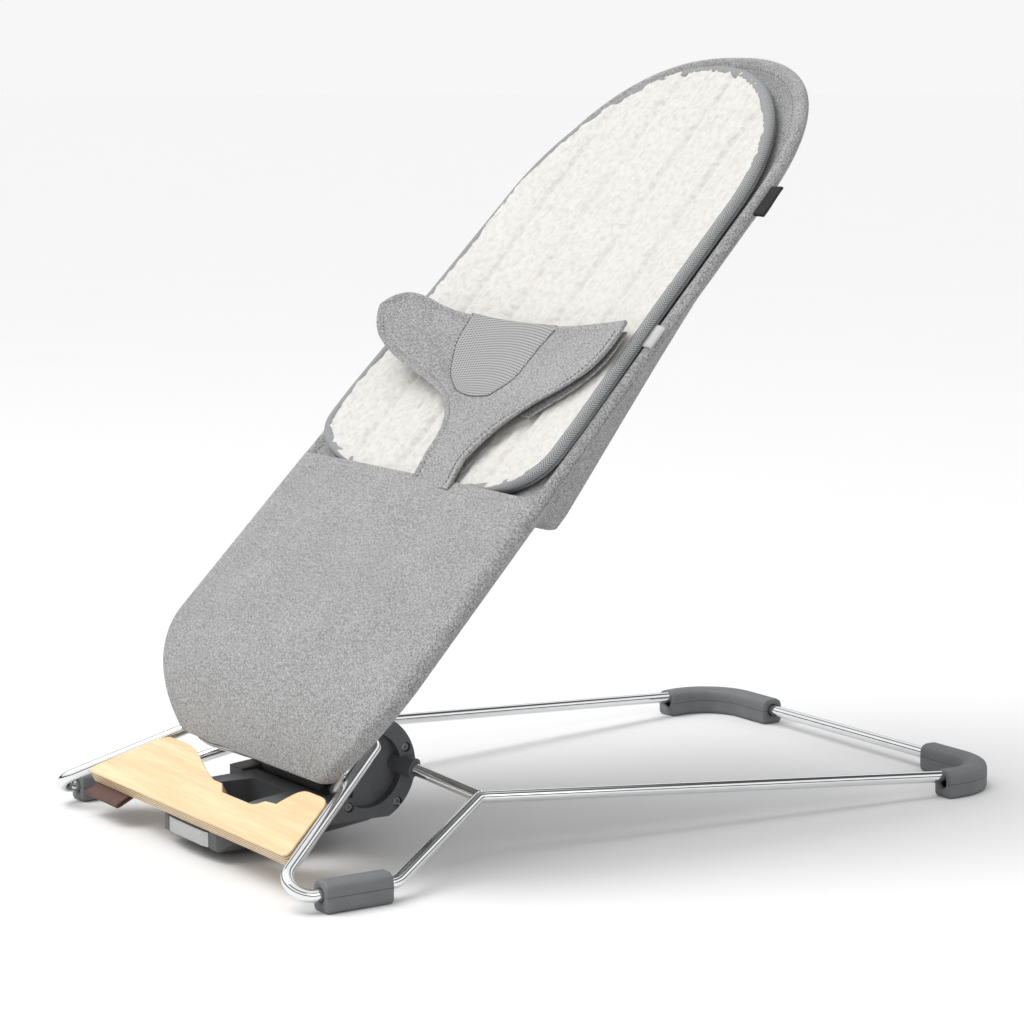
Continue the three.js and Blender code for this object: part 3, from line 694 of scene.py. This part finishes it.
# side is outwards from the seat, so the flange is on the inner half
flange = np.clip(-np.cos(a), 0, 1)
oval[:, 0] -= flange ** 2 * 4.2
oval[:, 1] *= 1 - 0.75 * flange ** 1.5
sleevePoints = sweepPoints(edge, oval * mm, planeUp)
run = lengthAlong(edge)
sleeveUv = np.stack(np.broadcast_arrays((a * 6.5 * mm)[None], run[:, None]), -1)
sleeveMesh = gridMesh("sleeve", sleevePoints, wrap=True, caps=True, uv=sleeveUv)
faceOut(sleeveMesh, 1e-7)
sleeve = asObject("sleeve", sleeveMesh, knit, "seat")
slingFlat = (2 * (seat["half"] + 25) * mm, (seatTop - 258 + 40) * mm)
min(areaOf(slingPoints), slingFlat[0] * slingFlat[1])


# Stitches: a thread sunk in the cloth, as short dashes along a path.
def stitchRow(name, path, radius, dash, body, up):
    path = resample(path, dash / 3)
    count = int((len(path) - 1) // 5)
    starts = np.arange(count) * 5
    segments = np.stack([path[starts + k] for k in range(4)], 1)
    ringA = np.linspace(0, 2 * math.pi, 6, endpoint=False)
    tangent = unit(segments[:, -1:] - segments[:, :1])
    side = unit(np.cross(tangent, np.broadcast_to(np.array(up, float), tangent.shape)))
    lift = np.cross(side, tangent)
    thin = np.array([0.35, 1, 1, 0.35])[None, :, None, None] * radius
    rings = segments[:, :, None] + thin * (np.cos(ringA)[None, None, :, None] * side[:, :, None]
                                           + np.sin(ringA)[None, None, :, None] * lift[:, :, None])
    k = np.arange(count)[:, None, None, None] * 24
    i = np.arange(3)[None, :, None, None] * 6
    j = np.arange(6)[None, None, :, None]
    corner = np.stack([k + i + j, k + i + (j + 1) % 6, k + i + 6 + (j + 1) % 6, k + i + 6 + j], -1).reshape(-1, 4)
    ends = np.concatenate([k[:, 0, 0] + np.arange(6)[::-1], k[:, 0, 0] + 18 + np.arange(6)])
    mesh = bpy.data.meshes.new(name)
    mesh.from_pydata(rings.reshape(-1, 3).tolist(), [], corner.tolist() + ends.tolist())
    mesh.shade_smooth()
    return asObject(name, mesh, stitchThread, body)


seamS = np.arange(pocketTop + 2, archStart, 4.0)
seamInset, seamLift = 10.6, 2.6
seam = bothSides(np.concatenate([seatPoints(coverHalf(seamS) - seamInset, seamS, seamLift),
                                 headEdge(seamInset, 60, seamLift)]))
stitchRow("edgeStitches", seam, 0.35 * mm, 2.4 * mm, "seat", planeUp)
print("sling and sleeve made")

# Liner: a soft pad with a pile face, four sewn channels and a taped edge.
pad = {"bottom": 264, "thick": 11, "lift": 10, "dish": 11, "groove": 3.2,
       "channels": (-0.62, -0.21, 0.21, 0.62)}
padTop = seatTop - 20


# The liner's half width: straight pieces along the back, times a superellipse at each end.
def padHalf(s):
    s = np.asarray(s, float)
    body = np.interp(s, [260, 345, 462, 568], [172, 172, 165, 161])
    low = np.clip((pad["bottom"] + 52 - s) / 52, 0, 1)
    high = np.clip((s - 568) / (padTop - 568), 0, 1)
    return body * (1 - low ** 2.6) ** (1 / 2.6) * (1 - high ** 2) ** 0.5


# The liner's height over the profile: its lift less a parabola across that fades towards the head.
def padLift(x, s):
    share = np.clip((padTop - 60 - s) / 300, 0, 1)
    width = np.maximum(np.interp(s, [260, 568, padTop], [172, 161, 120]), 1)
    return pad["lift"] - pad["dish"] * share * (1 - np.clip(x / width, -1, 1) ** 2)


n, m = 236, 150
ease = (1 - np.cos(np.linspace(0, math.pi, n))) / 2
rows = (pad["bottom"] + (padTop - pad["bottom"]) * (0.5 * ease + 0.5 * np.linspace(0, 1, n)))[:, None]
u = np.linspace(-1, 1, m)[None]
width = padHalf(rows)
x = u * width
toEdge = np.minimum(np.minimum((1 - np.abs(u)) * width, rows - pad["bottom"]), padTop - rows)
rim = np.clip(toEdge / 9, 0, 1)
plump = np.sqrt(1 - (1 - rim) ** 2)
groove = sum(np.exp(-((x - c * 165) / 4.2) ** 2) for c in pad["channels"]) * np.clip(toEdge / 20, 0, 1)
nap = (0.45 * softNoise(x, rows + 0 * x, 9, 11) + 0.75 * softNoise(x, rows + 0 * x, 4.2, 12)
       + 0.5 * softNoise(x, rows + 0 * x, 2.4, 13))
wave = 1.6 * softNoise(x, rows + 0 * x, 60, 14)
middle = padLift(x, rows) + wave * 0.6
topLift = middle + plump * (pad["thick"] / 2 + nap - pad["groove"] * groove)
underLift = middle - plump * pad["thick"] / 2
topPoints = seatPoints(x + 0.5 * nap * plump, rows + 0.5 * nap * plump, topLift)
underPoints = seatPoints(x, rows + 0 * x, underLift)
topMesh = gridMesh("linerTop", topPoints)
underMesh = gridMesh("linerUnder", underPoints)
work = bmesh.new()
work.from_mesh(topMesh)
work.from_mesh(underMesh)
bmesh.ops.remove_doubles(work, verts=work.verts, dist=2e-5)
bmesh.ops.recalc_face_normals(work, faces=work.faces)
work.to_mesh(topMesh)
work.free()
bpy.data.meshes.remove(underMesh)
topMesh.shade_smooth()
liner = asObject("linerPad", topMesh, fleece, "seat")
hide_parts("liner_pad")

# Edge tape: a flat oval carried round the liner's outline.
a = np.linspace(0, math.pi, 200)
s = (pad["bottom"] + padTop) / 2 - (padTop - pad["bottom"]) / 2 * np.cos(a)
outline = np.stack([padHalf(s), s], 1)
outline = np.concatenate([outline, (outline * np.array((-1, 1)))[::-1][1:-1]])
rimPath = seatPoints(outline[:, 0], outline[:, 1], padLift(outline[:, 0], outline[:, 1]))
closedRim = np.concatenate([rimPath, rimPath[:1]])
rimPath = soften(resample(closedRim, 0.0025)[:-1], 2, closed=True)
a = np.linspace(0, 2 * math.pi, 24, endpoint=False)
ovalTape = np.stack([5.8 * np.sign(np.cos(a)) * np.abs(np.cos(a)) ** 0.8 - 3.4, 5.6 * np.sin(a)], 1)
tapePoints = sweepPoints(rimPath, ovalTape * mm, planeUp, closed=True)
run = lengthAlong(rimPath)
tapeUv = np.stack(np.broadcast_arrays((a * 4.5 * mm)[None], run[:, None]), -1)
tapeMesh = gridMesh("linerTape", tapePoints, wrap=True, wrapRows=True, uv=tapeUv)
faceOut(tapeMesh, 1e-7)
linerTape = asObject("linerTape", tapeMesh, tape, "seat")
print("liner made")

# Bib: a padded strap that leaves the panel and spreads into two wings, their ends curling up.
bib = {"left": [(6, 262), (9, 292), (4, 318), (-14, 340), (-52, 356), (-94, 364), (-126, 373), (-147, 388),
                (-153, 406)],
       "right": [(66, 262), (66, 292), (78, 322), (100, 346), (128, 366), (150, 382), (160, 398), (163, 418),
                 (158, 438)],
       "top": [(-153, 406), (-148, 424), (-128, 432), (-92, 427), (-45, 429), (15, 429), (76, 431), (121, 436),
               (158, 440)],
       "thick": 3.4, "clear": 14.5, "curlLeft": 28, "curlRight": 2, "stitchInset": 7.0}


bibBend = ("seat", "harness", seatPoints(20, 268, 12).tolist(), seatPoints(20, 306, 14).tolist())


# A row of the bib runs from its left edge to its right edge: the two edges are smooth curves through
# a few points, and the last row is the top edge, so rows turn from straight across into the wings.
def through(points, count, width):
    points = np.array(points, float)
    run = lengthAlong(points)
    return soften(readAt(np.linspace(0, run[-1], count), run, points), width)


n, m = 90, 120
leftEdge, rightEdge = through(bib["left"], n, 6), through(bib["right"], n, 6)
topEdge = through(bib["top"], m, 6)
bottomEdge = np.stack([np.linspace(leftEdge[0, 0], rightEdge[0, 0], m), np.full(m, leftEdge[0, 1])], 1)
fall = np.linspace(1, 0, m)[:, None]
climb = np.linspace(0, 1, m)[:, None]
topEdge = topEdge + (leftEdge[-1] - topEdge[0]) * fall + (rightEdge[-1] - topEdge[-1]) * climb
v = np.linspace(0, 1, n)[:, None, None]
u = np.linspace(0, 1, m)[None, :, None]
# Coons patch: edges blended both ways, less the corners counted twice
bibFlat = ((1 - u) * leftEdge[:, None] + u * rightEdge[:, None]
           + (1 - v) * bottomEdge[None] + v * topEdge[None]
           - (1 - u) * (1 - v) * bottomEdge[0] - u * (1 - v) * bottomEdge[-1]
           - (1 - u) * v * topEdge[0] - u * v * topEdge[-1])
bibX, bibS = bibFlat[..., 0], bibFlat[..., 1]


# The bib's height: the liner's, a clearance, and a curl that grows with the square of the way out.
def bibLift(x, s):
    curl = np.where(x < 0, bib["curlLeft"], bib["curlRight"]) * np.clip(np.abs(x) / 155, 0, 1.1) ** 2.0
    tuck = np.clip((290 - s) / 30, 0, 1)
    return padLift(x, s) + bib["clear"] + curl - 6 * tuck


fromEdge = np.minimum(np.minimum(u[..., 0], 1 - u[..., 0]) * np.linalg.norm(rightEdge - leftEdge, axis=1)[:, None],
                      np.linalg.norm(bibFlat - topEdge[None], axis=-1))
puff = 0.9 * np.exp(-((fromEdge - 2.2) / 1.6) ** 2) - 0.9 * np.exp(-((fromEdge - 6.0) / 1.3) ** 2)
bibFace = bibLift(bibX, bibS) + puff + 0.4 * softNoise(bibX, bibS, 40, 21)
bibPoints = seatPoints(bibX, bibS, bibFace)
bibCloth = cloth("bib", bibPoints, bib["thick"], knit, bibBend, clothUv(bibPoints), "knit")
bevel = bibCloth.modifiers.new("edge", "BEVEL")
bevel.width, bevel.segments, bevel.limit_method, bevel.angle_limit = 1.3 * mm, 3, "ANGLE", math.radians(50)
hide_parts("harness_bib")

# The right wing's lining: a second cloth under its free end, a little longer at the lower edge.
lining = {"fromAcross": 0.6, "fromAlong": 0.45, "below": 5.0, "longer": 5.0}
ui = np.linspace(0, 1, m)[None] + 0 * bibX
vi = np.linspace(0, 1, n)[:, None] + 0 * bibX
outer = np.clip((ui - lining["fromAcross"]) / (1 - lining["fromAcross"]), 0, 1)
lower = np.clip((1 - vi) / (1 - lining["fromAlong"]), 0, 1)
liningS = bibS - lining["longer"] * outer * lower
cut = (slice(int(lining["fromAlong"] * n), n - 2), slice(int(lining["fromAcross"] * m), m - 1))
liningLift = bibLift(bibX, bibS) - bib["thick"] * 0.6 - lining["below"] * outer ** 0.7
liningPoints = seatPoints(bibX, liningS, liningLift)[cut]
bibLining = cloth("bibLining", liningPoints, 1.6, knit, "harness", clothUv(liningPoints), "knit")

# The mesh window in the bib's middle, a shallow raised panel with a stitched edge.
window = {"left": [(-60, 429.5), (-56, 398), (-36, 366), (-14, 354)],
          "right": [(64, 430), (58, 402), (56, 374), (36, 354)], "rise": 0.7}
wl, wr = through(window["left"], 40, 4)[::-1], through(window["right"], 40, 4)[::-1]
u = np.linspace(0, 1, 50)[None, :, None]
windowFlat = (1 - u) * wl[:, None] + u * wr[:, None]
sag = -3.0 * (1 - np.linspace(0, 1, 40)[:, None]) * np.sin(np.pi * u[..., 0])
windowX, windowS = windowFlat[..., 0], windowFlat[..., 1] + sag
off = np.minimum(np.minimum(u[..., 0], 1 - u[..., 0]) * np.abs(wr - wl)[:, :1], (windowS - windowS[0].min()))
windowLift = bibLift(windowX, windowS) + bib["thick"] / 2 + window["rise"] * np.clip(off / 4, 0, 1)
windowPoints = seatPoints(windowX, windowS, windowLift)
windowCloth = cloth("bibWindow", windowPoints, 0.8, meshCloth, "harness", clothUv(windowPoints), "knit")


# Points of a flat line laid on the bib's upper face.
def onBib(line, over):
    line = np.array(line)
    return seatPoints(line[:, 0], line[:, 1], bibLift(line[:, 0], line[:, 1]) + bib["thick"] / 2 + over)


windowGrid = np.stack([windowX, windowS], -1)
windowEdge = np.concatenate([windowGrid[::-1, 0], windowGrid[0], windowGrid[:, -1]])
windowStitches = stitchRow("windowStitches", onBib(windowEdge, 0.75), 0.4 * mm, 2.6 * mm, "harness", planeUp)
bibSpan = np.linalg.norm(rightEdge - leftEdge, axis=1)[:, None]
leftSeam = leftEdge + (rightEdge - leftEdge) / bibSpan * bib["stitchInset"]
rightSeam = rightEdge - (rightEdge - leftEdge) / bibSpan * bib["stitchInset"]
leftStitches = stitchRow("bibSeamLeft", onBib(leftSeam[2:-3], -0.1), 0.35 * mm, 2.4 * mm, bibBend, planeUp)
rightStitches = stitchRow("bibSeamRight", onBib(rightSeam[2:-3], -0.1), 0.35 * mm, 2.4 * mm, bibBend, planeUp)
print("bib made")

# Webbing patches and side label.
for side, sign in (("right", 1), ("left", -1)):
    across = np.linspace(-12, 9.5, 16)
    along = np.linspace(-11, 11, 10)[:, None]
    s = backStart + 345 + along
    lift = 3.0 + 4.2 * np.sqrt(np.clip(1 - (np.clip(across - 0.5, 0, 9.0) / 9.2) ** 2, 0, 1)) + 0 * along
    patch = seatPoints(sign * (coverHalf(s) - 6.3 + across[None] * 0.85), s + 0 * across, lift)
    strap = cloth(f"harnessPatch_{side}", patch, 1.2, webbing, "seat", clothUv(patch), "webbing")
    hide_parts(f"harness_strap_{side}")

s = backStart + 497
tagAcross = np.concatenate([np.linspace(-4, 14.2, 14), [14.9], np.linspace(14.2, -4, 14)])
tagLift = np.concatenate([np.full(14, 0.9), [0.0], np.full(14, -0.9)])
tagS = np.linspace(-15, 15, 16)[:, None]
tagWave = 0.8 * np.sin(tagS / 9) * (tagAcross[None] / 15)
tag = seatPoints(coverHalf(s) + tagAcross[None] + 0 * tagS, s + tagS, tagLift[None] + tagWave)
label = cloth("sideLabel", tag, 0.6, labelCloth, "seat", clothUv(tag), "label")
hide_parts("edge_label")
print("patches and label made")

# Floor, light and camera.
studio = {"floor": 60.0, "world": 1.0, "sun": 1.9, "key": 22, "fill": 8}
reach = np.linspace(-1, 1, 3) * studio["floor"]
floorMesh = gridMesh("floor", np.stack(np.broadcast_arrays(reach[:, None], reach[None], np.zeros((3, 3))), -1))
floor = bpy.data.objects.new("floor", floorMesh)
scene.collection.objects.link(floor)
paint = Paint("paleFloor", Roughness=0.7)
cloud = paint.noise(paint.coords(), 3.0, 2)
floorMesh.materials.append(paint.done(paint.mix(cloud, (0.765, 0.765, 0.765), (0.78, 0.78, 0.78))))

world = bpy.data.worlds.new("studio")
scene.world = world
world.use_nodes = True
sky = Graph(world.node_tree)
height = sky.split(sky.node("ShaderNodeTexCoord", out=0))[2]
bands = sky.ramp(height, (0.0, (0.9, 0.9, 0.9)), (0.05, (0.62, 0.62, 0.62)), (0.12, (0.02, 0.02, 0.02)),
                 (0.24, (0.02, 0.02, 0.02)), (0.3, (0.95, 0.95, 0.95)), (0.62, (1.1, 1.1, 1.1)),
                 (0.68, (0.1, 0.1, 0.1)), (0.8, (0.1, 0.1, 0.1)), (0.86, (1.0, 1.0, 1.0)))
seen = sky.node("ShaderNodeLightPath", out=0)
sky.link(sky.mix(seen, bands, (0.93, 0.93, 0.935)), world.node_tree.nodes["Background"].inputs[0])
world.node_tree.nodes["Background"].inputs[1].default_value = studio["world"]


# A rectangular lamp that faces a point.
def softbox(name, at, to, size, power):
    lamp = bpy.data.lights.new(name, "AREA")
    lamp.shape, lamp.size, lamp.size_y, lamp.energy = "RECTANGLE", size[0], size[1], power
    holder = bpy.data.objects.new(name, lamp)
    scene.collection.objects.link(holder)
    holder.location = at
    holder.rotation_euler = (Vector(to) - Vector(at)).to_track_quat("-Z", "Y").to_euler()


sun = bpy.data.lights.new("broadSun", "SUN")
sun.energy, sun.angle = studio["sun"], math.radians(50)
sunHolder = bpy.data.objects.new("broadSun", sun)
scene.collection.objects.link(sunHolder)
sunHolder.rotation_euler = Vector((0.35, 0.62, -1.25)).to_track_quat("-Z", "Y").to_euler()
softbox("keyLight", (-1.1, -1.6, 2.6), (0, 0, 0.2), (1.8, 1.4), studio["key"])
softbox("fillLight", (2.6, 0.6, 1.8), (0, 0, 0.3), (1.6, 1.6), studio["fill"])

camera = bpy.data.objects.new("camera", bpy.data.cameras.new("camera"))
scene.collection.objects.link(camera)
camera.data.lens, camera.data.sensor_width = 105.25, 36
camera.location = (2.0867, -1.4254, 0.6267)
camera.rotation_mode = "QUATERNION"
camera.rotation_quaternion = Vector((-0.8214, 0.5509, -0.1480)).to_track_quat("-Z", "Y")
camera.data.clip_start, camera.data.clip_end = 0.05, 60
scene.camera = camera
scene.view_settings.view_transform = "Standard"
